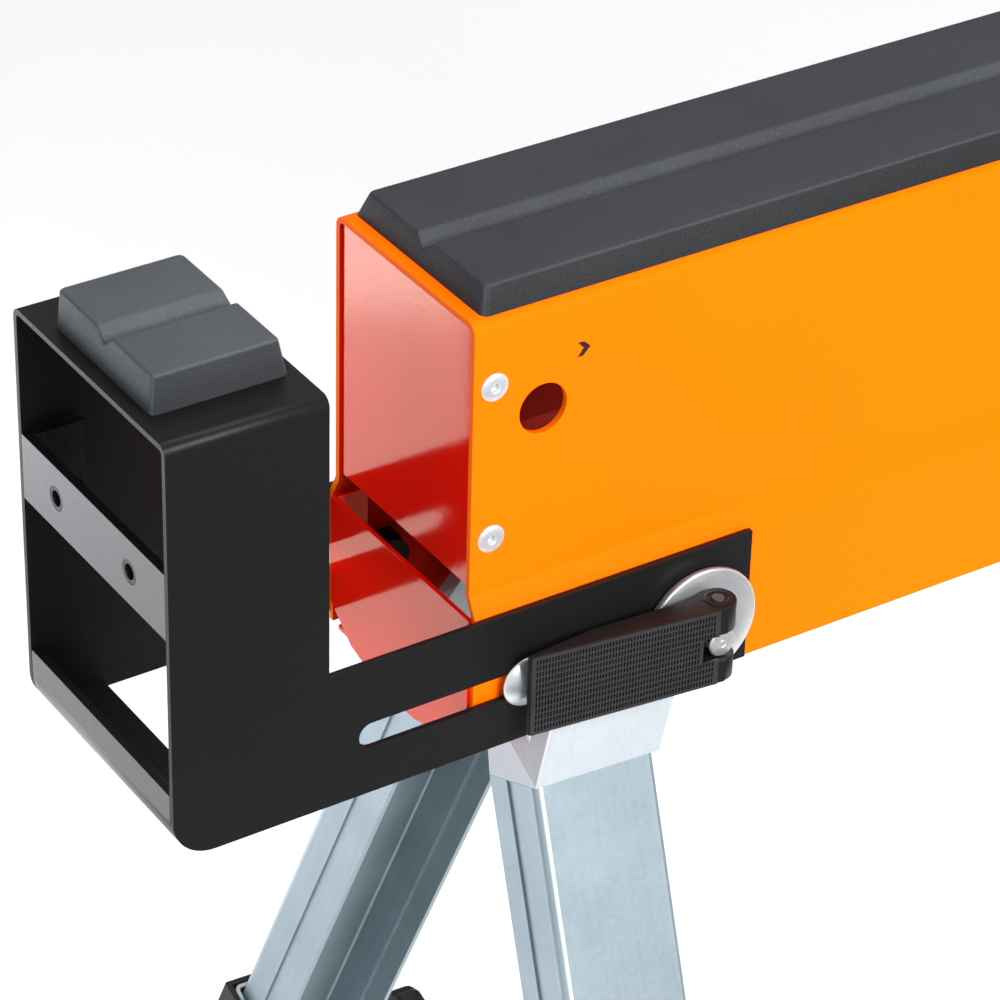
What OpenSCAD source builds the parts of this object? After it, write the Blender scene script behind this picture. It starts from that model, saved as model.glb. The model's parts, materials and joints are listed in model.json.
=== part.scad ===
// Folding sawhorse with a sliding end jaw, a cam clamp, folding splayed legs
// and telescopic lower legs.  X runs along the beam with the jaw at -X,
// Z is up from the floor and the origin is under the middle of the object.

/* [Beam] */
// Length of the pressed beam
beam_l = 1000; // [900:10:1200]
// Width of the beam across its upper sides
beam_w = 78.8; // [78:0.1:80]
// Width of the beam across its lower skirt
skirt_w = 86; // [86:0.1:87]
// Height of the beam from skirt edge to top sheet
beam_h = 151.6; // [150:0.1:155]
// Thickness of the beam sheet
beam_t = 2; // [1.5:0.1:2]
// Height of the working surface above the floor, legs retracted
work_h = 762; // [740:1:800]

/* [Pads] */
// Height of the long pad above the beam
pad_h = 8.5; // [7:0.1:10]
// Width of the long pad at its foot
pad_w = 73; // [68:0.5:74]
// Width of the V groove in both pads
groove_w = 9; // [6:0.5:12]
// Depth of the V groove in both pads
groove_d = 4; // [2:0.5:5]

/* [Jaw] */
// Distance from the jaw face to the beam end, jaw extended
jaw_reach = 106.7; // [106:0.1:110]
// Outer width of the jaw
jaw_w = 92; // [92:0.1:93]
// Length of the jaw block along the beam
jaw_l = 53.6; // [50:0.1:54]
// Thickness of the jaw sheet
jaw_t = 2; // [2:0.1:2.6]
// Height of each slotted arm
arm_h = 48.2; // [46:0.1:50]
// Height of the slot in each arm
slot_h = 9; // [9:0.1:10]

/* [Legs] */
// Sideways splay of each leg from vertical
splay = 22.5; // [20:0.1:24]
// Outward lean of each leg along the beam
lean = 3.2; // [2:0.1:4]
// Width of the upper leg channel
leg_w = 46; // [44:0.5:46]
// Depth of the upper leg channel
leg_d = 27; // [25:0.5:27]
// Thickness of the leg sheet
leg_t = 1.8; // [1.5:0.1:2]
// Distance that a lower leg can extend
leg_travel = 150; // [90:30:150]

/* [Hidden] */
$fn = 64;
eps = 0.01;

// Beam placement: beam coordinates start at the left end, on the top sheet
beam_x = (jaw_reach - beam_l - 1) / 2;
beam_z = work_h - pad_h;
side_y = beam_w / 2;
skirt_y = skirt_w / 2;
skirt_in = skirt_y - beam_t;
floor_z = -beam_z;
flare_top = -95;
flare_bottom = -102;
bend_r = 4;
rivet_x = 7.2;
rivet_zs = [-22.7, -76.2];
side_hole_x = 24.8;
side_hole_z = -35.5;
side_hole_d = 17;

// Jaw and clamp
jaw_y = jaw_w / 2;
jaw_top = -4;
jaw_bottom = -149.7;
arm_end = 101.4;
slot_z = -128.3;
slot_x = [-38.1, 85.5];
guide_x = 17.5;
clamp_x = 81;
lever_pin_y = -57;
lever_z = [-143, -113.5];
crossbar_z = [-70.4, -47.6];
jaw_corner = 14;
insert_y = 22.6;
insert_z = -58.8;

// Legs: local z runs up the leg, y points inward, x along the beam
leg_y = 34.8;
leg_x = [47.2, 62];
fold_y = -30;
fold_z = [-142, -200.5];
bend_z = -25;
sleeve_gap = 0.4;
sleeve_y = -leg_t - sleeve_gap;
sleeve_w = leg_w - 2 * sleeve_y;
sleeve_top = -239;
upper_end = -590;
collar_t = 2.2;
collar_h = 50;
lock_z = sleeve_top - 36;
groove_y = 15;
lock_pitch = 30;
foot_h = 50;
foot_floor = 20;
foot_wall = 4.5;

// Directions of an open leg: down the leg, across its web, inward
leg_down = [-cos(splay) * sin(lean), -sin(splay), -cos(splay) * cos(lean)];
leg_across = [cos(lean), 0, -sin(lean)];
leg_inward = -cross(leg_down, leg_across);
// Skew axis that turns the open leg into a level one with an upright web
fold_sum = cross(leg_inward - [0, 1, 0], leg_down - [1, 0, 0]);
fold_axis = fold_sum / norm(fold_sum) * (fold_sum.y < 0 ? 1 : -1);
fold_angle = acos((leg_down.x + leg_across.z + leg_inward.y - 1) / 2);

function leg_root(end) = [leg_x[end], -leg_y, -beam_h];
function fold_shift(end) = let (dy = fold_y + leg_y, dz = fold_z[end] + beam_h)
    [-(fold_axis.y * dy + fold_axis.z * dz) / fold_axis.x, dy, dz];
function fold_pivot(end) = leg_root(end) + fold_shift(end) / 2
    + cross(fold_axis, fold_shift(end)) / (2 * tan(fold_angle / 2));
function leg_drop(z) = (z + beam_h) / (cos(splay) * cos(lean));

// ---- placement helpers ----
module in_beam() {
    translate([beam_x, 0, beam_z]) children();
}

module both_sides() {
    children();
    mirror([0, 1, 0]) children();
}

module at_end(end) {
    in_beam() translate([end * beam_l, 0, 0]) mirror([end, 0, 0]) children();
}

module leg_place(end) {
    translate(leg_root(end)) rotate([0, lean, 0]) rotate([-splay, 0, 0]) children();
}

module fold_place(end) {
    translate(fold_pivot(end))
        rotate([0, acos(fold_axis.z), atan2(fold_axis.y, fold_axis.x)]) children();
}

module cyl_y(r, y0, y1) {
    translate([0, y0, 0]) rotate([-90, 0, 0]) cylinder(r = r, h = y1 - y0);
}

module block(a, b) {
    translate(a) cube(b - a);
}

module ring(r_out, r_in, z0, z1) {
    translate([0, 0, z0]) difference() {
        cylinder(r = r_out, h = z1 - z0);
        translate([0, 0, -1]) cylinder(r = r_in, h = z1 - z0 + 2);
    }
}

// ---- beam ----
function beam_side(t) = concat(
    [for (a = [90 : -15 : 0])
        [side_y - bend_r + (bend_r - t) * cos(a), -bend_r + (bend_r - t) * sin(a)]],
    [[side_y - t, flare_top - t / 4], [skirt_y - t, flare_bottom - t / 4], [skirt_y - t, -beam_h]]);
function flip(points) = [for (i = [len(points) - 1 : -1 : 0]) [-points[i].x, points[i].y]];

module beam_section() {
    outer = beam_side(0);
    inner = beam_side(beam_t);
    back = [for (i = [len(inner) - 1 : -1 : 0]) inner[i]];
    polygon(concat(flip(outer), outer, back, flip(back)));
}

module along_beam(x0, x1) {
    translate([x0, 0, 0]) rotate([90, 0, 90]) linear_extrude(x1 - x0) children();
}

module beam_shell() color("darkorange") in_beam() difference() {
    along_beam(0, beam_l) beam_section();
    translate([side_hole_x, 0, side_hole_z]) cyl_y(side_hole_d / 2, -60, 60);
    for (x = [rivet_x, beam_l - rivet_x], z = rivet_zs)
        translate([x, 0, z]) cyl_y(2.5, -60, 60);
    translate([guide_x, 0, slot_z]) cyl_y(4.2, -60, 60);
    translate([clamp_x, 0, slot_z]) cyl_y(4.2, -60, 60);
}

module pad_section(foot, crown, height) {
    round_r = 1.5;
    polygon([
        [-foot, 0], [-foot, height * 0.2],
        [-crown - round_r, height - round_r], [-crown, height],
        [-groove_w / 2, height], [0, height - groove_d], [groove_w / 2, height],
        [crown, height], [crown + round_r, height - round_r],
        [foot, height * 0.2], [foot, 0]
    ]);
}

module beam_pad() color("dimgray") in_beam() difference() {
    along_beam(4.5, beam_l - 4.5) pad_section(pad_w / 2, pad_w / 2 - 4.4, pad_h);
    for (end = [0, 1]) translate([end * beam_l, 0, 0]) mirror([end, 0, 0])
        translate([4.5, -50, 0.5]) rotate([0, 18, 0]) block([-10, 0, 0], [0, 100, 20]);
}

// Closed tray between the beam sides, with the rivets through its flanges
module tray_section(t, z) {
    side = concat(
        [for (a = [90 : -15 : 0])
            [side_y - bend_r + (bend_r - t) * cos(a), -bend_r + (bend_r - t) * sin(a)]],
        [[side_y - t, z]]);
    polygon(concat(flip(side), side));
}

module upper_plate(end) color("red") at_end(end) difference() {
    gap = beam_t + 0.1;
    translate([0, 0, -0.4]) along_beam(0.9, 13) tray_section(gap, -92.4);
    translate([0, 0, -0.4]) along_beam(2.4, 14) tray_section(gap + 1.5, -90.9);
    for (z = rivet_zs) translate([rivet_x, 0, z]) cyl_y(2.5, -60, 60);
}

// Lower tray that closes the end of the beam below the upper one
module lower_plate(end) color("red") at_end(end) {
    y = skirt_in - 0.1;
    lip = 17;
    difference() {
        union() {
            along_beam(-1, 0.6) polygon([
                [-y, -103], [y, -103], [y, -143], [28, -153.5], [10, -158.5],
                [-10, -158.5], [-28, -153.5], [-y, -143]
            ]);
            for (s = [-1, 1]) block([-1, s > 0 ? y - 1.6 : -y, -143], [12, s > 0 ? y : 1.6 - y, -103]);
            block([-1, -36, -151.4], [lip, 36, -149.8]);
        }
        translate([guide_x, 0, slot_z]) cyl_y(10, -60, 60);
    }
}

module plate_rivets() color("silver") in_beam()
    for (end = [0, 1], z = rivet_zs) translate([end * beam_l, 0, 0]) mirror([end, 0, 0])
        both_sides() translate([rivet_x, 0, z]) {
            difference() {
                cyl_y(4.75, -side_y - 1.3, -side_y);
                cyl_y(1.6, -side_y - 2, -side_y - 0.5);
            }
            cyl_y(2.4, -side_y, -side_y + 5);
        }

// ---- guide bolts and clamp ----
module guide_bolts() color("silver") in_beam() both_sides() translate([guide_x, 0, slot_z]) {
    cyl_y(4, -jaw_y - 0.3, -skirt_in + 6);
    intersection() {
        translate([0, -jaw_y + 7.6, 0]) sphere(r = 11.8);
        cyl_y(8.8, -jaw_y - 8, -jaw_y - 0.3);
    }
}

module guide_nuts() color("black") in_beam() both_sides() translate([guide_x, 0, slot_z]) difference() {
    union() {
        translate([0, -skirt_in, 0]) rotate([-90, 0, 0]) cylinder(r = 7.5, h = 5.5, $fn = 6);
        cyl_y(6.4, -skirt_in, -skirt_in + 8);
    }
    cyl_y(4.02, -skirt_in - 1, -skirt_in + 6.5);
}

module clamp_bolt() color("silver") in_beam() translate([clamp_x, 0, slot_z]) difference() {
    union() {
        cyl_y(9, -skirt_in, -skirt_in + 2.5);
        cyl_y(4, -60.3, -skirt_in);
        translate([0, -61, 0]) rotate([-90, 0, 0]) cylinder(r1 = 3.3, r2 = 4, h = 0.7);
    }
    translate([0, lever_pin_y, -10]) cylinder(r = 2.05, h = 20);
}

module clamp_washers() color("gainsboro") in_beam() translate([clamp_x, 0, slot_z]) {
    translate([0.4, 0, -1.2]) difference() {
        cyl_y(20.5, -jaw_y - 2, -jaw_y - 0.3);
        translate([-0.4, 0, 1.2]) cyl_y(4.3, -60, -40);
    }
    difference() {
        cyl_y(20.5, -jaw_y - 3.9, -jaw_y - 2);
        cyl_y(4.3, -60, -40);
    }
}

module far_bolt() color("silver") in_beam() translate([clamp_x, 0, slot_z]) {
    cyl_y(4, skirt_in - 6, jaw_y + 2.2);
    difference() {
        cyl_y(13, jaw_y + 0.3, jaw_y + 2.2);
        cyl_y(4, 0, 60);
    }
    translate([0, jaw_y + 2.2, 0]) rotate([-90, 0, 0]) cylinder(r = 7.5, h = 5, $fn = 6);
}

module far_nut() color("silver") in_beam() translate([clamp_x, 0, slot_z]) difference() {
    translate([0, skirt_in - 6.5, 0]) rotate([-90, 0, 0]) cylinder(r = 7.5, h = 6.5, $fn = 6);
    cyl_y(4.02, 0, 60);
}

// ---- leg pivots: a bush on the skirt, a bolt and a washer on a skew axis ----
module each_pivot() {
    for (end = [0, 1]) at_end(end) both_sides() fold_place(end) children();
}

module outside_skirt() {
    block([-50, -80, -250], [200, -skirt_in, 50]);
}

module pivot_bosses() color("darkorange") for (end = [0, 1]) at_end(end) both_sides() difference() {
    fold_place(end) ring(9, 4.02, -7.9, 30);
    outside_skirt();
}

module pivot_bolts() color("silver") for (end = [0, 1]) at_end(end) both_sides() difference() {
    fold_place(end) {
        translate([0, 0, -15.6]) cylinder(r = 4, h = 40);
        translate([0, 0, -20.6]) cylinder(r = 7, h = 5, $fn = 6);
    }
    outside_skirt();
}

module pivot_washers() color("silver") each_pivot() ring(8, 4.02, -15.6, -14.2);

// ---- jaw ----
module jaw_frame() color("black") in_beam() difference() {
    r = 3.5;
    union() {
        along_beam(-jaw_reach, -jaw_reach + jaw_l) difference() {
            union() {
                translate([-jaw_y, jaw_bottom]) square([jaw_w, jaw_top - r - jaw_bottom]);
                translate([-jaw_y + r, jaw_top - r]) square([jaw_w - 2 * r, r]);
                for (s = [-1, 1]) translate([s * (jaw_y - r), jaw_top - r]) circle(r = r);
            }
            translate([-jaw_y + jaw_t, jaw_bottom - 1])
                square([jaw_w - 2 * jaw_t, jaw_top - r - jaw_bottom + 1]);
            translate([-jaw_y + r, jaw_top - r - 1]) square([jaw_w - 2 * r, r + 1 - jaw_t]);
            for (s = [-1, 1]) translate([s * (jaw_y - r), jaw_top - r]) circle(r = r - jaw_t);
        }
        both_sides() block([-jaw_reach + jaw_l - eps, -jaw_y, jaw_bottom],
            [arm_end, -jaw_y + jaw_t, jaw_bottom + arm_h]);
    }
    for (x = slot_x) translate([x, 0, slot_z]) cyl_y(slot_h / 2, -60, 60);
    block([slot_x[0], -60, slot_z - slot_h / 2], [slot_x[1], 60, slot_z + slot_h / 2]);
    both_sides() translate([-jaw_reach, 0, jaw_bottom]) difference() {
        block([-1, -60, -1], [jaw_corner, 0, jaw_corner]);
        translate([jaw_corner, 0, jaw_corner]) cyl_y(jaw_corner, -61, 1);
    }
}

module jaw_crossbar() color("dimgray") in_beam() difference() {
    y = jaw_y - jaw_t;
    union() {
        block([-jaw_reach, -y, crossbar_z[0]], [-jaw_reach + 3, y, crossbar_z[1]]);
        both_sides() block([-jaw_reach, -y, crossbar_z[0]], [-jaw_reach + 20, -y + 2.5, crossbar_z[1]]);
    }
    for (s = [-1, 1]) translate([-jaw_reach - 1, s * insert_y, insert_z]) rotate([0, 90, 0]) cylinder(r = 4, h = 10);
}

module jaw_inserts() color("silver") in_beam()
    for (s = [-1, 1]) translate([-jaw_reach, s * insert_y, insert_z]) rotate([0, 90, 0]) difference() {
        cylinder(r = 4, h = 9);
        translate([0, 0, -1]) cylinder(r = 2.5, h = 20);
    }

// Strip bent round the lower front corners of the jaw sides
module jaw_bottom_bar() color("dimgray") in_beam() translate([-jaw_reach, 0, jaw_bottom]) {
    t = 3;
    y = jaw_y - jaw_t;
    block([0, -y, jaw_corner], [t, y, 23.4]);
    block([jaw_corner, -y, 0], [24.3, y, t]);
    translate([jaw_corner, 0, jaw_corner]) intersection() {
        difference() {
            cyl_y(jaw_corner, -y, y);
            cyl_y(jaw_corner - t, -y - 1, y + 1);
        }
        block([-jaw_corner, -y, -jaw_corner], [0, y, 0]);
    }
}

module jaw_pad() color("dimgray") in_beam() {
    x = [-jaw_reach + 5.1, -jaw_reach + 50.1];
    h = pad_h - jaw_top;
    translate([0, 0, jaw_top]) difference() {
        along_beam(x[0], x[1]) pad_section(29.2, 27.4, h);
        translate([x[0], -50, 1]) rotate([0, 4, 0]) block([-10, 0, 0], [0, 100, 20]);
        translate([x[1], -50, 1]) rotate([0, -12, 0]) block([0, 0, 0], [10, 100, 20]);
    }
}

// ---- cam lever, shown closed ----
module cam_lever() color("black") in_beam() difference() {
    inner = -jaw_y - 4.6;
    union() {
        translate([0, 0, lever_z[0]]) linear_extrude(lever_z[1] - lever_z[0]) polygon([
            [13, inner - 2.3], [13.4, inner - 3.6], [clamp_x, lever_pin_y - 6.2],
            [clamp_x, lever_pin_y + 4.5], [72, inner - 2.4], [38, inner - 0.2]
        ]);
        translate([clamp_x, lever_pin_y, lever_z[0]]) cylinder(r = 5.9, h = lever_z[1] - lever_z[0]);
    }
    translate([clamp_x, lever_pin_y, lever_z[0] - 1]) cylinder(r = 2.05, h = 40);
    block([clamp_x - 8, -80, slot_z - 5], [clamp_x + 20, 0, slot_z + 5]);
    translate([12, -80, lever_z[0]]) rotate([0, -1.3, 0]) block([-1, 0, -10], [90, 40, 0]);
}

module lever_pin() color("silver") in_beam()
    translate([clamp_x, lever_pin_y, lever_z[0] + 2]) cylinder(r = 2, h = lever_z[1] - lever_z[0] - 1.5);

// ---- legs ----
module channel(w, y0, y1, t, z0, z1) {
    r = 3;
    translate([0, 0, z0]) linear_extrude(z1 - z0) difference() {
        union() {
            translate([-w / 2, y0 + r]) square([w, y1 - y0 - r]);
            translate([-w / 2 + r, y0]) square([w - 2 * r, r + eps]);
            for (s = [-1, 1]) translate([s * (w / 2 - r), y0 + r]) circle(r = r);
        }
        translate([-w / 2 + t, y0 + r]) square([w - 2 * t, y1 - y0]);
        translate([-w / 2 + r, y0 + t]) square([w - 2 * r, r]);
        for (s = [-1, 1]) translate([s * (w / 2 - r), y0 + r]) circle(r = r - t);
    }
}

// The lock works on the flange that faces up in a folded left leg, down in a right one
module lock_place(end) {
    mirror([1 - end, 0, 0]) translate([-sleeve_w / 2, groove_y, lock_z]) rotate([0, -90, 0]) children();
}

module upper_leg(end) color("lightsteelblue") leg_place(end) difference() {
    union() {
        channel(leg_w, 0, leg_d, leg_t, upper_end, bend_z);
        for (s = [-1, 1]) translate([s * (leg_w / 2 - leg_t - 0.5), groove_y, (upper_end + bend_z) / 2])
            cube([1.8, 5.4, bend_z - upper_end], center = true);
    }
    for (s = [-1, 1]) translate([s * leg_w / 2, groove_y, (upper_end + bend_z) / 2])
        cube([1.6, 3.8, bend_z - upper_end + 1], center = true);
    for (k = [0 : leg_travel / lock_pitch])
        translate([0, 0, -k * lock_pitch]) lock_place(end) translate([0, 0, -7]) cylinder(r = 2.8, h = 8);
}

// Pressed head of the leg: a shell that widens upwards and a plate that turns on the pivot
module head_shape(end, t) {
    w = leg_w / 2;
    flare = end == 0 ? 12.5 : 3;
    hull() {
        translate([0, 0, bend_z - t]) linear_extrude(0.5) polygon([
            [-w + t, t - 0.8], [w + 1.4 - t, t - 0.8], [w + 1.4 - t, leg_d + 3 * t], [-w + t, leg_d + 3 * t]
        ]);
        translate([0, 0, t]) linear_extrude(2) polygon([
            [-w + t, 23 + 3 * t], [-w + 11 + t / 2, t - 3.4], [w + flare - t, t - 3.4], [w + flare - t, 23 + 3 * t]
        ]);
    }
}

module knuckle(end) color("gainsboro") difference() {
    union() {
        leg_place(end) difference() {
            head_shape(end, 0);
            head_shape(end, 2);
        }
        hull() {
            fold_place(end) translate([0, 0, -14]) cylinder(r = 14, h = 6, $fn = 32);
            leg_place(end) translate([-leg_w / 2 + 3, 4, bend_z + 2]) cube([leg_w - 8, 6, 24]);
        }
    }
    fold_place(end) translate([0, 0, -30]) cylinder(r = 4.08, h = 60);
    fold_place(end) translate([0, 0, -8]) cylinder(r = 9.6, h = 30);
    fold_place(end) translate([0, 0, -44]) cylinder(r = 9.6, h = 30);
}

module lower_leg(end) color("lightsteelblue") leg_place(end) difference() {
    channel(sleeve_w, sleeve_y, leg_d, leg_t, leg_drop(floor_z) + foot_floor, sleeve_top);
    lock_place(end) translate([0, 0, -3]) cylinder(r = 2.8, h = 6);
}

// Plastic collar round the top of the lower leg, with a boss for the lock
module collar(end) color("black") leg_place(end) difference() {
    w = sleeve_w / 2;
    union() {
        block([-w - collar_t, sleeve_y - collar_t, sleeve_top - collar_h],
            [w + collar_t, leg_d - 2, sleeve_top + 0.5]);
        lock_place(end) cylinder(r = 8, h = 15);
    }
    block([-w, sleeve_y, sleeve_top - collar_h - 1], [w, 60, sleeve_top + 1]);
    lock_place(end) {
        translate([0, 0, -10]) cylinder(r = 2.8, h = 30);
        translate([0, 0, collar_t]) cylinder(r = 5.4, h = 14 - collar_t);
    }
}

// Pull knob and pin, drawn pulled out so that the leg is free to slide
module lock_knob(end) color("black") leg_place(end) lock_place(end) {
    translate([0, 0, 0.3]) cylinder(r = 2.5, h = 22);
    translate([0, 0, 8]) cylinder(r = 4.8, h = 1.5);
    translate([0, 0, 21]) cylinder(r = 10.5, h = 8);
    translate([0, 0, 29]) cylinder(r1 = 10.5, r2 = 8, h = 2.6);
}

function spring_ring(turn, sides, r, wire, pitch) = [for (k = [0 : sides - 1])
    [(r + wire * cos(k * 360 / sides)) * cos(turn * 360),
     (r + wire * cos(k * 360 / sides)) * sin(turn * 360),
     turn * pitch + wire * sin(k * 360 / sides)]];

module helix(turns, r, wire, pitch) {
    sides = 6;
    per_turn = 12;
    rings = turns * per_turn;
    points = [for (i = [0 : rings]) each spring_ring(i / per_turn, sides, r, wire, pitch)];
    sides_faces = [for (i = [0 : rings - 1], k = [0 : sides - 1])
        [i * sides + k, (i + 1) * sides + k, (i + 1) * sides + (k + 1) % sides, i * sides + (k + 1) % sides]];
    first_cap = [for (k = [0 : sides - 1]) k];
    last_cap = [for (k = [sides - 1 : -1 : 0]) rings * sides + k];
    polyhedron(points, concat(sides_faces, [first_cap, last_cap]));
}

module lock_spring(end) color("silver") leg_place(end) lock_place(end)
    translate([0, 0, 10.1]) helix(3, 3.9, 0.4, 1.1);

module foot(end) color("black") difference() {
    low = leg_drop(floor_z);
    w = sleeve_w / 2;
    leg_place(end) block([-w - foot_wall, sleeve_y - 3.6, low - 20],
        [w + foot_wall, leg_d + 1.5, low + foot_h]);
    leg_place(end) block([-w, sleeve_y, low + foot_floor], [w, leg_d, low + foot_h + 1]);
    block([-400, -800, floor_z - 200], [600, 100, floor_z]);
}

// side 0 is the near side, side 1 the far side
module leg_set(name, end, side) {
    at_end(end) mirror([0, side, 0]) knuckle(end);
    at_end(end) mirror([0, side, 0]) upper_leg(end);
    at_end(end) mirror([0, side, 0]) lower_leg(end);
    at_end(end) mirror([0, side, 0]) collar(end);
    at_end(end) mirror([0, side, 0]) lock_knob(end);
    at_end(end) mirror([0, side, 0]) lock_spring(end);
    at_end(end) mirror([0, side, 0]) foot(end);
}

beam_shell();
beam_pad();
upper_plate(0);  // left_upper_plate
lower_plate(0);  // left_lower_plate
upper_plate(1);  // right_upper_plate
lower_plate(1);  // right_lower_plate
plate_rivets();
guide_bolts();
guide_nuts();
clamp_bolt();
clamp_washers();
far_bolt();
far_nut();
pivot_bosses();
pivot_bolts();
pivot_washers();
jaw_frame();
jaw_crossbar();
jaw_bottom_bar();
jaw_pad();
jaw_inserts();
cam_lever();
lever_pin();
leg_set("left_near", 0, 0);
leg_set("left_far", 0, 1);
leg_set("right_near", 1, 0);
leg_set("right_far", 1, 1);
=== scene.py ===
"""Looks of the folding sawhorse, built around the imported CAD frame.

Everything is in metres in the row frame: X along the beam with the jaw at -X,
Y across it, Z up from the floor.
"""
import json
import math

import bmesh
import bpy
from mathutils import Matrix, Vector


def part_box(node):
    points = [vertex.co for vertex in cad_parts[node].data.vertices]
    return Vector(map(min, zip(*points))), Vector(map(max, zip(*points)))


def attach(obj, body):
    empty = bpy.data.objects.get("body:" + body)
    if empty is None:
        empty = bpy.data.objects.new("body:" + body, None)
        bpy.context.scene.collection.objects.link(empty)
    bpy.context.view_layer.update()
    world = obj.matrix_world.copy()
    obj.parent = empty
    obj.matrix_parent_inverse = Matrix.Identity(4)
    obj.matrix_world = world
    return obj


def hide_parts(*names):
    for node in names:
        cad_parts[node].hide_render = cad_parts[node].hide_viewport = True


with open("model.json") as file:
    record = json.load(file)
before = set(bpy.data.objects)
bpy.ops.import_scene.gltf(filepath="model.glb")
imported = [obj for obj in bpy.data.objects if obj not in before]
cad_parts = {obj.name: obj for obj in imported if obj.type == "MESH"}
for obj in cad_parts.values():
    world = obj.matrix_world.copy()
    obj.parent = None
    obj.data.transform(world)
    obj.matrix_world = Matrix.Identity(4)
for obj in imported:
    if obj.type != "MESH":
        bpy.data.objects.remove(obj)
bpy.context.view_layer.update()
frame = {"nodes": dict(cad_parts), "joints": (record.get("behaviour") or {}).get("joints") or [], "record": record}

MM = 0.001
NODES = frame["nodes"]
LEGS = ("left_near", "left_far", "right_near", "right_far")

# ---- places taken from the frame ----
beam_lo, beam_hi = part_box("beam_shell")
BEAM_END = beam_lo.x
BEAM_TOP = beam_hi.z
BEAM_LENGTH = (beam_hi.x - beam_lo.x) / MM

# ---- sizes in millimetres, as in the CAD ----
BEAM_SIDE = 39.4
JAW_SIDE = 46.0
CLAMP_X, BOLT_Z = 81.0, -128.3
GUIDE_X = 17.5
LEVER_PIN_Y = -57.0
LEVER_FOOT, LEVER_TOP = -143.0, -113.5
LEVER_RISE = 1.57
PAD_TOP = 8.5
LEG_ROOT_Y, LEG_ROOT_Z = 34.8, -151.6
LEG_ROOT_X = {"left": 47.2, "right": BEAM_LENGTH - 62.0}
LOCK_OUT, LOCK_INWARD, LOCK_DOWN = 25.2, 15.0, 275.0


def at(x, y, z):
    """A point in millimetres from the beam's left end, centre plane and top sheet."""
    return Vector((BEAM_END + x * MM, y * MM, BEAM_TOP + z * MM))


def joint(name):
    return next(j for j in frame["joints"] if j["name"] == name)


# ---- mesh helpers ----
def new_piece(name, bm, material, body, smooth=40):
    """A finished bmesh as an object that rides on a body."""
    bmesh.ops.recalc_face_normals(bm, faces=bm.faces)
    mesh = bpy.data.meshes.new(name)
    bm.to_mesh(mesh)
    bm.free()
    mesh.materials.append(material)
    piece = bpy.data.objects.new(name, mesh)
    bpy.context.scene.collection.objects.link(piece)
    for face in mesh.polygons:
        face.use_smooth = True
    mesh.set_sharp_from_angle(angle=math.radians(smooth))
    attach(piece, body)
    return piece


def extrude_outline(bm, outline, frame_matrix, depth):
    """A closed prism: outline in the matrix's XY plane, depth along its Z, all in metres."""
    low = [bm.verts.new(frame_matrix @ Vector((x, y, 0))) for x, y in outline]
    high = [bm.verts.new(frame_matrix @ Vector((x, y, depth))) for x, y in outline]
    bm.faces.new(low)
    bm.faces.new(high[::-1])
    for i in range(len(outline)):
        j = (i + 1) % len(outline)
        bm.faces.new((low[j], low[i], high[i], high[j]))


def lathe(bm, profile, origin, axis, steps=48, flutes=0):
    """Turns (radius, height, flute depth) points about an axis through origin."""
    turn = Vector(axis).to_track_quat("Z", "Y").to_matrix()
    rings = []
    for radius, height, *depth in profile:
        if radius == 0:
            rings.append([bm.verts.new(origin + turn @ Vector((0, 0, height * MM)))])
            continue
        ring = []
        for k in range(steps):
            a = 2 * math.pi * k / steps
            cut = depth[0] * (0.5 - 0.5 * math.cos(flutes * a)) if depth else 0
            r = (radius - cut) * MM
            ring.append(bm.verts.new(origin + turn @ Vector((r * math.cos(a), r * math.sin(a), height * MM))))
        rings.append(ring)
    for lower, upper in zip(rings, rings[1:]):
        for k in range(steps):
            n = (k + 1) % steps
            if len(lower) == 1:
                bm.faces.new((lower[0], upper[n], upper[k]))
            elif len(upper) == 1:
                bm.faces.new((lower[k], lower[n], upper[0]))
            else:
                bm.faces.new((lower[k], lower[n], upper[n], upper[k]))
    return rings


def close_lathe(bm, rings):
    """Joins the last ring of a lathed tube to its first."""
    steps = len(rings[0])
    for k in range(steps):
        n = (k + 1) % steps
        bm.faces.new((rings[-1][k], rings[-1][n], rings[0][n], rings[0][k]))


def round_edges(bm, test, width, segments):
    """Bevels the edges whose two ends pass a test."""
    bm.normal_update()
    edges = [e for e in bm.edges if test(e)]
    bmesh.ops.bevel(bm, geom=edges, offset=width, segments=segments, profile=0.5, affect="EDGES",
                    clamp_overlap=True)


def sharp(e, degrees=25):
    return len(e.link_faces) == 2 and e.calc_face_angle(0) > math.radians(degrees)


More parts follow.
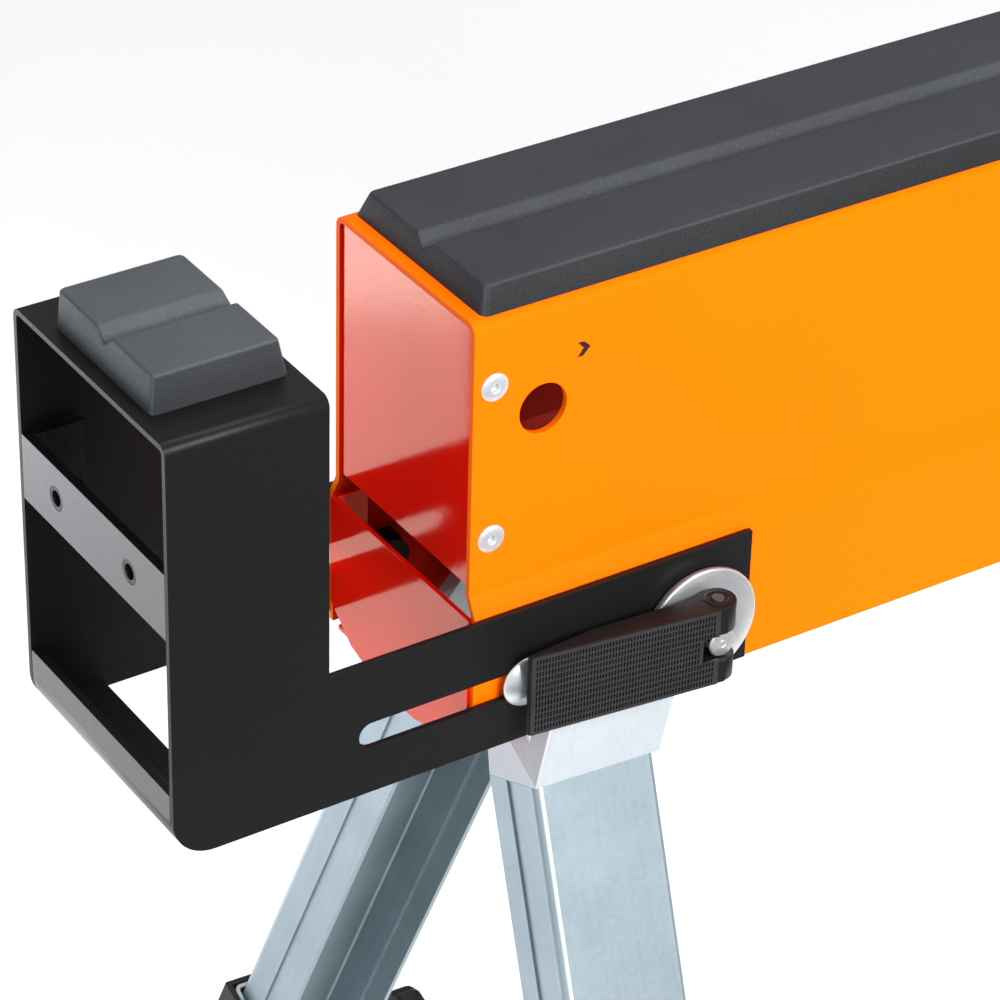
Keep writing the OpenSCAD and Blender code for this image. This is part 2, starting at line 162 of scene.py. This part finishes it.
# ---- materials ----
class Nodes:
    """A small wrapper that keeps material code short."""

    def __init__(self, name):
        self.material = bpy.data.materials.new(name)
        self.material.use_nodes = True
        self.tree = self.material.node_tree
        self.shader = self.tree.nodes["Principled BSDF"]
        self.coords_node = self.tree.nodes.new("ShaderNodeTexCoord")
        self.coords = self.coords_node.outputs["Object"]

    def link(self, a, b):
        self.tree.links.new(a, b)

    def set(self, **values):
        """Sets shader sockets, whose names have underscores for spaces."""
        for key, value in values.items():
            self.shader.inputs[key.replace("_", " ")].default_value = value

    def mapped(self, scale=(1, 1, 1), rotation=(0, 0, 0), vector=None):
        node = self.tree.nodes.new("ShaderNodeMapping")
        node.inputs["Scale"].default_value = scale
        node.inputs["Rotation"].default_value = rotation
        self.link(vector or self.coords, node.inputs["Vector"])
        return node.outputs["Vector"]

    def noise(self, scale, detail=3, rough=0.5, vector=None):
        node = self.tree.nodes.new("ShaderNodeTexNoise")
        node.inputs["Scale"].default_value = scale
        node.inputs["Detail"].default_value = detail
        node.inputs["Roughness"].default_value = rough
        self.link(vector or self.coords, node.inputs["Vector"])
        return node.outputs["Fac"]

    def cells(self, scale, vector):
        """A grey level for each Voronoi cell."""
        node = self.tree.nodes.new("ShaderNodeTexVoronoi")
        node.inputs["Scale"].default_value = scale
        self.link(vector, node.inputs["Vector"])
        return node.outputs["Color"]

    def ramp(self, fac, stops):
        node = self.tree.nodes.new("ShaderNodeValToRGB")
        elements = node.color_ramp.elements
        while len(elements) < len(stops):
            elements.new(0.5)
        for element, (place, colour) in zip(elements, stops):
            element.position = place
            element.color = (*colour, 1)
        self.link(fac, node.inputs["Fac"])
        return node.outputs["Color"]

    def grey_ramp(self, fac, stops):
        return self.ramp(fac, [(place, (level, level, level)) for place, level in stops])

    def spread(self, fac, low, high, low_in=0.3, high_in=0.7):
        """Maps the middle range of a noise to low ... high."""
        node = self.tree.nodes.new("ShaderNodeMapRange")
        node.inputs["From Min"].default_value = low_in
        node.inputs["From Max"].default_value = high_in
        node.inputs["To Min"].default_value = low
        node.inputs["To Max"].default_value = high
        self.link(fac, node.inputs["Value"])
        return node.outputs["Result"]

    def multiply(self, *colours):
        """The product of several colours."""
        product = colours[0]
        for colour in colours[1:]:
            product = self.mix(1.0, product, colour, "MULTIPLY")
        return product

    def mix(self, fac, a, b, blend="MIX"):
        node = self.tree.nodes.new("ShaderNodeMix")
        node.data_type = "RGBA"
        node.blend_type = blend
        for value, socket in ((fac, node.inputs["Factor"]), (a, node.inputs["A"]), (b, node.inputs["B"])):
            if hasattr(value, "links"):
                self.link(value, socket)
            else:
                socket.default_value = value
        return node.outputs["Result"]

    def math(self, operation, a, b):
        node = self.tree.nodes.new("ShaderNodeMath")
        node.operation = operation
        for value, socket in zip((a, b), node.inputs):
            if hasattr(value, "links"):
                self.link(value, socket)
            else:
                socket.default_value = value
        return node.outputs["Value"]

    def axis(self, kind, letter):
        """One component of the place ("Object") or the normal ("Normal") in the object's own axes."""
        split = self.tree.nodes.new("ShaderNodeSeparateXYZ")
        self.link(self.coords_node.outputs[kind], split.inputs[0])
        return split.outputs[letter]

    def faces_inward(self):
        """1 on faces that look at the object's own XZ plane, and on the underside of its top."""
        towards = self.math("MULTIPLY", self.axis("Object", "Y"), self.axis("Normal", "Y"))
        across = self.math("LESS_THAN", towards, -0.005)
        below = self.math("LESS_THAN", self.axis("Normal", "Z"), -0.7)
        return self.math("MAXIMUM", across, below)

    def bump(self, height, strength, distance, normal=None):
        node = self.tree.nodes.new("ShaderNodeBump")
        node.inputs["Strength"].default_value = strength
        node.inputs["Distance"].default_value = distance
        self.link(height, node.inputs["Height"])
        if normal:
            self.link(normal, node.inputs["Normal"])
        return node.outputs["Normal"]

    def finish(self, colour=None, rough=None, normal=None):
        for value, name in ((colour, "Base Color"), (rough, "Roughness"), (normal, "Normal")):
            if value is not None:
                self.link(value, self.shader.inputs[name])
        return self.material


def powder_paint(name, dark, light, rough, shine, tint=(1, 1, 1, 1), peel=0.12, inside=None):
    """Baked paint: a slow colour drift, fine orange peel and a satin gloss; an optional colour is painted shade on
    the hollow side.
    """
    m = Nodes(name)
    drift = m.noise(6, 2)
    specks = m.noise(1800, 2)
    colour = m.ramp(drift, [(0.3, dark), (0.7, light)])
    # Painted shade: faces turned into the hollow and the underside of the top take the darker inside colour.
    if inside:
        colour = m.mix(m.faces_inward(), colour, (*inside, 1))
    m.set(Specular_Tint=tint, Specular_IOR_Level=shine)
    peel_bump = m.bump(m.noise(420, 2), peel, 0.0004)
    return m.finish(colour, m.spread(specks, *rough), m.bump(specks, 0.05, 0.0002, peel_bump))


def grained_rubber(name, dark, light, rough=(0.42, 0.55), grain=0.5, shine=0.22, wear=None):
    """Moulded rubber with a fine grain and a few pale specks; painted shade darkens the faces towards -Y and a
    painted highlight lightens the rounded edges above them.
    """
    m = Nodes(name)
    cloud = m.noise(28, 4)
    grit = m.noise(1100, 3, 0.7)
    dust = m.ramp(m.noise(1500, 3, 0.6), [(0.6, (0, 0, 0)), (0.72, (0.06, 0.062, 0.066))])
    colour = m.mix(1.0, m.ramp(cloud, [(0.3, dark), (0.7, light)]), dust, "ADD")
    # Painted light: faces towards -Y are darkened as painted shade, the rounded edges between them and the top get
    # a painted highlight, and all other faces take the top factor.
    if wear:
        shaded_side, edge, top = wear
        slope = m.spread(m.axis("Normal", "Y"), 1, 0, -1, 0)
        colour = m.multiply(colour, m.grey_ramp(slope, [(0.0, top), (0.25, top), (0.62, edge), (0.88, shaded_side)]))
    m.set(Specular_IOR_Level=shine)
    return m.finish(colour, m.spread(grit, *rough), m.bump(grit, grain, 0.0003))


def black_plastic(name, dark, light, shine):
    """Moulded plastic with a faint grain."""
    m = Nodes(name)
    grit = m.noise(2200, 2)
    m.set(IOR=1.5, Specular_IOR_Level=shine)
    colour = m.ramp(m.noise(60, 3), [(0.3, dark), (0.7, light)])
    return m.finish(colour, m.spread(grit, 0.36, 0.5), m.bump(grit, 0.18, 0.0002))


def galvanised(name, dark, light, along, rough=(0.44, 0.5), metal=0.75):
    """Rolled galvanised sheet: soft mottling, a faint spangle and hairlines along one direction."""
    m = Nodes(name)
    turn = Vector(along).rotation_difference(Vector((0, 0, 1))).to_euler()
    aligned = m.mapped(rotation=turn)
    streak = m.noise(900, 3, 0.6, m.mapped(scale=(1, 1, 0.04), vector=aligned))
    mottle = m.noise(620, 4, 0.65, aligned)
    base = m.ramp(m.noise(30, 4, 0.6, aligned), [(0.25, dark), (0.75, light)])
    spots = m.grey_ramp(mottle, [(0.35, 0.945), (0.65, 1.0)])
    spangle = m.grey_ramp(m.cells(520, aligned), [(0.0, 0.98), (1.0, 1.0)])
    hairlines = m.grey_ramp(streak, [(0.35, 0.96), (0.6, 1.0)])
    colour = m.multiply(base, spots, spangle, hairlines)
    m.set(Metallic=metal)
    return m.finish(colour, m.spread(mottle, *rough), m.bump(streak, 0.05, 0.0002))


def bare_metal(name, dark, light, rough, metal=0.95):
    """Bare or plated metal with fine random scratches."""
    m = Nodes(name)
    cloud = m.noise(90, 4, 0.6)
    fine = m.noise(1500, 4, 0.7)
    colour = m.ramp(cloud, [(0.3, dark), (0.7, light)])
    m.set(Metallic=metal)
    return m.finish(colour, m.spread(fine, *rough), m.bump(fine, 0.06, 0.0002))


def make_materials():
    made = {}

    def add(recipe, name, dark, light, **finish):
        made[name] = recipe(name, dark, light, **finish)

    # The orange paint's inside colour is painted shade for the hollow of the beam.
    add(powder_paint, "orange_paint", (0.93, 0.130, 0.0), (0.96, 0.142, 0.0), rough=(0.4, 0.48), shine=0.02,
        inside=(0.42, 0.016, 0.004))
    # Painted shade: the plates have the same orange paint as the beam, and this deep red base stands for that
    # paint in shade.
    add(powder_paint, "plate_paint", (0.74, 0.004, 0.0), (0.80, 0.007, 0.0), rough=(0.07, 0.1), shine=0.5,
        tint=(1, 1, 0.5, 1), peel=0.06)
    add(powder_paint, "black_paint", (0.006, 0.006, 0.006), (0.0085, 0.008, 0.008), rough=(0.36, 0.44),
        shine=0.14)
    # Partly painted reflection: a glossier copy of the black paint for the jaw bars, whose lighter, bluer base
    # colour stands for light they reflect.
    add(powder_paint, "bar_paint_painted_sheen", (0.008, 0.0085, 0.01), (0.011, 0.0115, 0.013), rough=(0.22, 0.28), shine=0.6)
    # The last tuple is painted light: the shade factor of the faces towards -Y, the highlight factor of their
    # rounded edges, and the factor of all other faces.
    add(grained_rubber, "pad_rubber", (0.052, 0.055, 0.061), (0.064, 0.068, 0.075), shine=0.12,
        wear=(0.2, 0.8, 0.53))
    add(grained_rubber, "jaw_rubber", (0.076, 0.082, 0.091), (0.090, 0.096, 0.105), shine=0.15,
        wear=(0.34, 0.8, 0.7))
    add(grained_rubber, "foot_rubber", (0.018, 0.018, 0.018), (0.026, 0.026, 0.026), rough=(0.6, 0.75))
    add(black_plastic, "black_plastic", (0.006, 0.006, 0.0065), (0.009, 0.009, 0.0095), shine=0.16)
    add(black_plastic, "grip_plastic", (0.017, 0.0165, 0.0175), (0.023, 0.0225, 0.024), shine=0.35)
    add(black_plastic, "print_ink", (0.02, 0.008, 0.004), (0.03, 0.01, 0.005), shine=0.25)
    add(bare_metal, "zinc_plate", (0.64, 0.67, 0.69), (0.76, 0.78, 0.79), rough=(0.3, 0.44), metal=0.85)
    add(bare_metal, "dull_zinc", (0.62, 0.65, 0.65), (0.72, 0.74, 0.74), rough=(0.42, 0.55))
    add(bare_metal, "dark_steel", (0.015, 0.015, 0.016), (0.03, 0.03, 0.032), rough=(0.35, 0.45))
    add(bare_metal, "pin_steel", (0.045, 0.05, 0.055), (0.08, 0.085, 0.09), rough=(0.4, 0.5), metal=0.3)
    add(bare_metal, "aluminium_rivet", (0.66, 0.67, 0.68), (0.76, 0.77, 0.78), rough=(0.34, 0.45), metal=0.7)
    add(bare_metal, "spring_steel", (0.4, 0.4, 0.42), (0.55, 0.55, 0.56), rough=(0.16, 0.3))
    for name in LEGS:
        along = joint(name + "_extend")["axis"]
        add(galvanised, "galvanised_" + name, (0.26, 0.322, 0.358), (0.33, 0.40, 0.44), along=along)
        add(galvanised, "bright_galvanised_" + name, (0.40, 0.445, 0.47), (0.45, 0.495, 0.52), along=along,
            rough=(0.45, 0.52), metal=0.3)
    return made


MATERIALS = make_materials()


# The jaw bars get the glossier black paint, whose base colour holds a painted reflection.
OWN_MATERIAL = {"jaw_inserts": "dark_steel", "jaw_crossbar": "bar_paint_painted_sheen", "jaw_bottom_bar": "bar_paint_painted_sheen",
                "lever_pin": "pin_steel"}


def material_for(slot_name, node_name):
    """The material of a CAD node: its slot's, one of its own, or one that runs along its leg."""
    if node_name in OWN_MATERIAL:
        return MATERIALS[OWN_MATERIAL[node_name]]
    for name in LEGS:
        if node_name.startswith(name) and slot_name.endswith("galvanised"):
            return MATERIALS[slot_name + "_" + name]
    return MATERIALS[slot_name]


# ---- CAD nodes: material and softened edges ----
EDGE = {"jaw_frame": 0.85, "cam_lever": 0.5, "left_upper_plate": 0.15, "left_lower_plate": 0.2,
        "right_upper_plate": 0.15, "right_lower_plate": 0.2}
PLAIN_EDGE = 0.35
CRISP = ("beam_shell", "jaw_crossbar")


def dress_cad():
    for part in frame["record"]["subparts"]:
        node = NODES[part["node"]]
        node.data.materials.clear()
        node.data.materials.append(material_for(part["material_slot"], part["node"]))
        if part["node"] in CRISP:
            continue
        weld = node.modifiers.new("weld", "WELD")
        weld.merge_threshold = 1e-5
        bevel = node.modifiers.new("bevel", "BEVEL")
        bevel.width = EDGE.get(part["node"], PLAIN_EDGE) * MM
        bevel.segments = 2
        bevel.limit_method = "ANGLE"
        bevel.angle_limit = math.radians(35)
        bevel.use_clamp_overlap = True
        bevel.harden_normals = True


dress_cad()


# ---- pieces shaped more finely than the CAD nodes ----
def pad(name, body, material, x, z, foot, crown, leans, corner, edge):
    """Rubber pad: sloped sides and ends, rounded corners, a V groove along the top.

    foot and crown are half widths, leans are the slopes of the two ends in degrees.
    """
    groove, depth = 4.5, 4.0
    bottom_of_groove = 1 - depth / (z[1] - z[0])
    section = [(-foot, 0), (-crown, 1), (-groove, 1), (0, bottom_of_groove), (groove, 1), (crown, 1), (foot, 0)]
    bm = bmesh.new()
    ends = []
    for x_end, lean in zip(x, leans):
        ring = []
        for y, up in section:
            height = up * (z[1] - z[0])
            ring.append(bm.verts.new(at(x_end + height * math.tan(math.radians(lean)), y, z[0] + height)))
        ends.append(ring)
    bm.faces.new(ends[0])
    bm.faces.new(ends[1][::-1])
    for i in range(len(section)):
        j = (i + 1) % len(section)
        bm.faces.new((ends[0][j], ends[0][i], ends[1][i], ends[1][j]))
    bmesh.ops.recalc_face_normals(bm, faces=bm.faces)
    base = at(0, 0, z[0] + 0.05).z
    mid = 0.6 * foot * MM

    def rises(e):
        a, b = (v.co for v in e.verts)
        return abs(a.y) > mid and (a.z < base) != (b.z < base)

    def on_top(e):
        return all(v.co.z > base for v in e.verts) and sharp(e, 12)

    round_edges(bm, rises, corner * MM, 5)
    round_edges(bm, on_top, edge * MM, 3)
    piece = new_piece(name, bm, MATERIALS[material], body, 60)
    return piece


def make_pads():
    inset = 4.6
    long_pad = pad("beam_pad_rubber", "beam", "pad_rubber", (inset, BEAM_LENGTH - inset), (0, PAD_TOP),
                   36.4, 33.2, (17, -17), 2.4, 0.9)
    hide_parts("beam_pad")
    short_pad = pad("jaw_pad_rubber", "jaw", "jaw_rubber", (-101.6, -56.6), (-4, PAD_TOP),
                    29.2, 28.8, (5, -12), 2.0, 1.0)
    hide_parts("jaw_pad")


def make_grip():
    """Ribbed grip face of the cam lever: rows of small upright pits with a plain border."""
    start, end = Vector((13.4, -54.2)), Vector((CLAMP_X, -63.2))
    along = (end - start).normalized()
    out = Vector((along.y, -along.x))
    columns, rows, pitch_s, pitch_z = 60, 12, 1.035, 2.28
    border, lip = 1.5, 1.6
    first_row = -142.0
    s_lines = [0.2] + [border + pitch_s * i for i in range(columns + 1)] + [border + pitch_s * columns + lip]
    z_lines = [-142.8] + [first_row + pitch_z * i for i in range(rows + 1)] + [-113.8]
    notch_s, notch_z = 59.4, 5.4
    taper = LEVER_RISE / (end - start).length / (z_lines[-1] - z_lines[0])
    face, back = 0.5, -0.1
    rib_s, rib_z = 0.24, 0.28
    last_s, last_z = len(s_lines) - 2, len(z_lines) - 2
    bm = bmesh.new()
    made = {}

    def corner(s, z, height):
        key = (round(s, 4), round(z, 4), height)
        if key not in made:
            place = start + along * s + out * height
            made[key] = bm.verts.new(at(place.x, place.y, z + taper * s * (z_lines[-1] - z)))
        return made[key]

    def kind(i, j):
        """0 for nothing, 1 for plain, 2 for a pit."""
        if not (0 <= i <= last_s and 0 <= j <= last_z):
            return 0
        middle = (z_lines[j] + z_lines[j + 1]) / 2
        beside_notch = abs(middle - BOLT_Z) < notch_z
        if beside_notch and s_lines[i + 1] > notch_s + pitch_s:
            return 0
        plain = i in (0, last_s) or j in (0, last_z)
        return 1 if plain or (beside_notch and s_lines[i + 1] > notch_s - 0.6) else 2

    def ring(outer, inner, outer_height, inner_height):
        for k in range(4):
            n = (k + 1) % 4
            bm.faces.new((corner(*outer[k], outer_height), corner(*outer[n], outer_height),
                          corner(*inner[n], inner_height), corner(*inner[k], inner_height)))

    for i in range(last_s + 1):
        for j in range(last_z + 1):
            if not kind(i, j):
                continue
            s0, s1, z0, z1 = s_lines[i], s_lines[i + 1], z_lines[j], z_lines[j + 1]
            rim = [(s0, z0), (s1, z0), (s1, z1), (s0, z1)]
            if kind(i, j) == 1:
                bm.faces.new([corner(s, z, face) for s, z in rim])
            else:
                a, b, c, d = s0 + rib_s, s1 - rib_s, z0 + rib_z, z1 - rib_z
                pit = [(a, c), (b, c), (b, d), (a, d)]
                ring(rim, pit, face, face)
                ring(pit, pit, face, back)
            for k, (di, dj) in enumerate(((0, -1), (1, 0), (0, 1), (-1, 0))):
                if not kind(i + di, j + dj):
                    p, q = rim[k], rim[(k + 1) % 4]
                    bm.faces.new((corner(*q, face), corner(*p, face), corner(*p, back), corner(*q, back)))
    piece = new_piece("lever_grip", bm, MATERIALS["grip_plastic"], "lever", 30)


def make_lever_ring():
    """Raised ring round the pin on both ends of the lever barrel."""
    section = [(3.1, -0.3), (3.1, 0.15), (3.4, 0.3), (4.2, 0.3), (4.5, 0.15), (4.5, -0.3)]
    bm = bmesh.new()
    for z, up in ((LEVER_TOP, 1), (LEVER_FOOT + LEVER_RISE, -1)):
        close_lathe(bm, lathe(bm, section, at(CLAMP_X, LEVER_PIN_Y, z), (0, 0, up), 40))
    piece = new_piece("lever_ring", bm, MATERIALS["black_plastic"], "lever", 50)


def make_rivets():
    """Domed blind rivets with a hollow head and the broken mandrel inside."""
    head = [(2.3, -4.5), (2.3, 0), (4.75, 0), (4.75, 0.3), (4.5, 0.65), (3.8, 0.9), (2.8, 1.05), (1.9, 1.1),
            (1.45, 0.95), (1.3, 0.6), (1.25, -0.6), (1.0, -0.6), (0.9, -0.3), (0.5, -0.1), (0, -0.05)]
    inset = 7.2
    bm = bmesh.new()
    for x in (inset, BEAM_LENGTH - inset):
        for z in (-22.7, -76.2):
            for side in (-1, 1):
                rings = lathe(bm, head, at(x, side * BEAM_SIDE, z), (0, side, 0), 40)
                bm.faces.new(rings[0])
    piece = new_piece("rivet_heads", bm, MATERIALS["aluminium_rivet"], "beam", 50)
    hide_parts("plate_rivets")


def make_washers():
    """The two large clamp washers on the near arm, the inner one a little off centre."""
    section = [(4.3, 0.2), (4.5, 0), (20.05, 0), (20.4, 0.15), (20.5, 0.5), (20.5, 1.3), (20.3, 1.65),
               (19.9, 1.8), (4.5, 1.8), (4.3, 1.6)]
    inner_face, outer_face = -JAW_SIDE - 0.3, -JAW_SIDE - 2.1
    bm = bmesh.new()
    for y, dx, dz in ((inner_face, 0.4, -1.2), (outer_face, 0, 0)):
        close_lathe(bm, lathe(bm, section, at(CLAMP_X + dx, y, BOLT_Z + dz), (0, -1, 0), 96))
    piece = new_piece("clamp_washer_pair", bm, MATERIALS["zinc_plate"], "beam", 50)
    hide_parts("clamp_washers")


def make_guides():
    """Guide bolts with domed heads, one in each arm's slot."""
    head = [(4, -11), (4, 0), (8.5, 0), (8.8, 0.25), (8.7, 0.5), (8.3, 0.85), (7.6, 1.35), (6.6, 1.95),
            (5.2, 2.65), (3.6, 3.25), (1.8, 3.7), (0, 3.85)]
    bm = bmesh.new()
    for side in (-1, 1):
        rings = lathe(bm, head, at(GUIDE_X, side * (JAW_SIDE + 0.3), BOLT_Z), (0, side, 0), 64)
        bm.faces.new(rings[0])
    piece = new_piece("guide_bolt_pair", bm, MATERIALS["zinc_plate"], "beam", 50)
    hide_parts("guide_bolts")


def make_stud():
    """Clamp bolt whose end is spread to a small disc in front of the lever's notch."""
    turned = [(0, -20), (8.7, -20), (9, -19.7), (9, -17.8), (8.7, -17.5), (4, -17.5), (4, 0.7), (4.6, 0.8),
              (4.85, 1.1), (4.8, 1.6), (4.4, 2.0), (3.9, 2.1), (1.5, 2.1), (1.35, 2.0), (1.1, 2.0),
              (0.95, 2.1), (0, 2.1)]
    bm = bmesh.new()
    lathe(bm, turned, at(CLAMP_X, LEVER_PIN_Y - 1.9, BOLT_Z), (0, -1, 0), 64)
    piece = new_piece("clamp_stud", bm, MATERIALS["dull_zinc"], "beam", 30)
    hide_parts("clamp_bolt")


def make_knobs():
    """Fluted pull knobs of the leg locks."""
    turned = [(0, 0.3), (2.2, 0.3), (2.5, 0.6), (2.5, 8), (4.8, 8), (4.8, 9.5), (2.5, 9.5), (2.5, 20.6),
              (4.5, 20.8), (9.6, 21, 0.6), (10.3, 21.6, 0.9), (10.5, 23, 1.0), (10.5, 28, 1.0),
              (10.2, 29.6, 0.8), (9.3, 30.9, 0.4), (8, 31.5), (6, 31.6), (5.6, 31.3), (0, 31.2)]
    for name in LEGS:
        side = 1 if name.endswith("far") else -1
        out = Vector(joint(name + "_pull_pin")["axis"])
        up = Vector(joint(name + "_extend")["axis"])
        inward = Vector((0, -side, 0))
        inward = (inward - up * inward.dot(up) - out * inward.dot(out)).normalized()
        root = at(LEG_ROOT_X[name.split("_")[0]], side * LEG_ROOT_Y, LEG_ROOT_Z)
        origin = root + (out * LOCK_OUT + inward * LOCK_INWARD - up * LOCK_DOWN) * MM
        bm = bmesh.new()
        lathe(bm, turned, origin, out, 72, 12)
        piece = new_piece(name + "_pull_knob", bm, MATERIALS["black_plastic"], name + "_lock", 40)
        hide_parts(name + "_lock_knob")


def make_chevron():
    """Plain printed arrow mark on the near side, a hair thicker than the paint."""
    outline = [(-0.5, 2.3), (1.7, 2.3), (4.2, 0), (1.5, -2.7), (-0.5, -2.7), (1.6, 0.1)]
    ink = 0.06
    upright = Matrix(((1, 0, 0, 0), (0, 0, -1, 0), (0, 1, 0, 0), (0, 0, 0, 1)))
    plane = Matrix.Translation(at(37.0, 0.01 - BEAM_SIDE, -18.8)) @ upright
    bm = bmesh.new()
    extrude_outline(bm, [(x * MM, z * MM) for x, z in outline], plane, ink * MM)
    piece = new_piece("arrow_mark", bm, MATERIALS["print_ink"], "beam", 30)


make_pads()
make_grip()
make_lever_ring()
make_rivets()
make_washers()
make_guides()
make_stud()
make_knobs()
make_chevron()


# ---- camera, light, floor ----
def make_camera():
    azimuth, elevation, roll = (math.radians(a) for a in (33.544, 33.035, 1.556))
    data = bpy.data.cameras.new("camera")
    data.sensor_width = 36
    data.lens = 152.72
    data.clip_start, data.clip_end = 0.05, 50
    camera = bpy.data.objects.new("camera", data)
    bpy.context.scene.collection.objects.link(camera)
    forward = Vector((math.sin(azimuth) * math.cos(elevation), math.cos(azimuth) * math.cos(elevation),
                      -math.sin(elevation)))
    right = forward.cross(Vector((0, 0, 1))).normalized()
    up = right.cross(forward)
    rolled_right = right * math.cos(roll) + up * math.sin(roll)
    rolled_up = up * math.cos(roll) - right * math.sin(roll)
    turn = Matrix((rolled_right, rolled_up, -forward)).transposed()
    camera.matrix_world = Matrix.Translation(at(-579.4, -928.8, 630.5)) @ turn.to_4x4()
    bpy.context.scene.camera = camera


def area_light(name, place, target, size, power, colour=(1, 1, 1)):
    data = bpy.data.lights.new(name, "AREA")
    data.shape = "RECTANGLE"
    data.size, data.size_y = size
    data.energy = power
    data.color = colour
    light = bpy.data.objects.new(name, data)
    bpy.context.scene.collection.objects.link(light)
    light.location = place
    light.rotation_mode = "QUATERNION"
    light.rotation_quaternion = (Vector(target) - Vector(place)).to_track_quat("-Z", "Y")


def ground_sheet(name, lo, hi, height, material):
    mesh = bpy.data.meshes.new(name)
    corners = [(lo[0], lo[1], height), (hi[0], lo[1], height), (hi[0], hi[1], height), (lo[0], hi[1], height)]
    mesh.from_pydata(corners, [], [(0, 1, 2, 3)])
    mesh.materials.append(material)
    sheet = bpy.data.objects.new(name, mesh)
    bpy.context.scene.collection.objects.link(sheet)
    return sheet


def plain_paper(name, dark, light):
    m = Nodes(name)
    m.set(Roughness=0.9, Specular_IOR_Level=0.1)
    return m.finish(m.ramp(m.noise(3, 2), [(0.3, dark), (0.7, light)]))


def make_studio():
    """White paper floor, softboxes, and a dark card that only reflections see."""
    scene = bpy.context.scene
    scene.view_settings.view_transform = "Standard"
    world = bpy.data.worlds.new("studio")
    world.use_nodes = True
    world.node_tree.nodes["Background"].inputs["Color"].default_value = (0.95, 0.97, 1.0, 1)
    world.node_tree.nodes["Background"].inputs["Strength"].default_value = 0.5
    scene.world = world
    aim = at(0, 0, -80)
    area_light("key", aim + Vector((0.4, -2.6, 1.5)), aim, (1.8, 1.2), 150)
    area_light("top", aim + Vector((0.6, 0.6, 2.6)), aim, (2.0, 1.4), 40)
    area_light("left", aim + Vector((-2.6, -1.3, 0.7)), aim, (1.4, 1.2), 9, (0.95, 0.97, 1.0))
    area_light("left_low", aim + Vector((-0.75, 1.1, -0.45)), aim, (1.1, 0.9), 11, (0.92, 0.95, 1.0))
    paper = plain_paper("floor_paper", (0.95, 0.95, 0.95), (0.96, 0.96, 0.96))
    ground_sheet("floor", (-14, -14), (14, 14), 0, paper)
    card_paper = plain_paper("card_paper", (0.01, 0.01, 0.01), (0.014, 0.014, 0.014))
    card = ground_sheet("dark_card", (-1.4, -2.6), (1.6, -0.5), 0.004, card_paper)
    card.visible_camera = card.visible_diffuse = card.visible_shadow = False


make_camera()
make_studio()
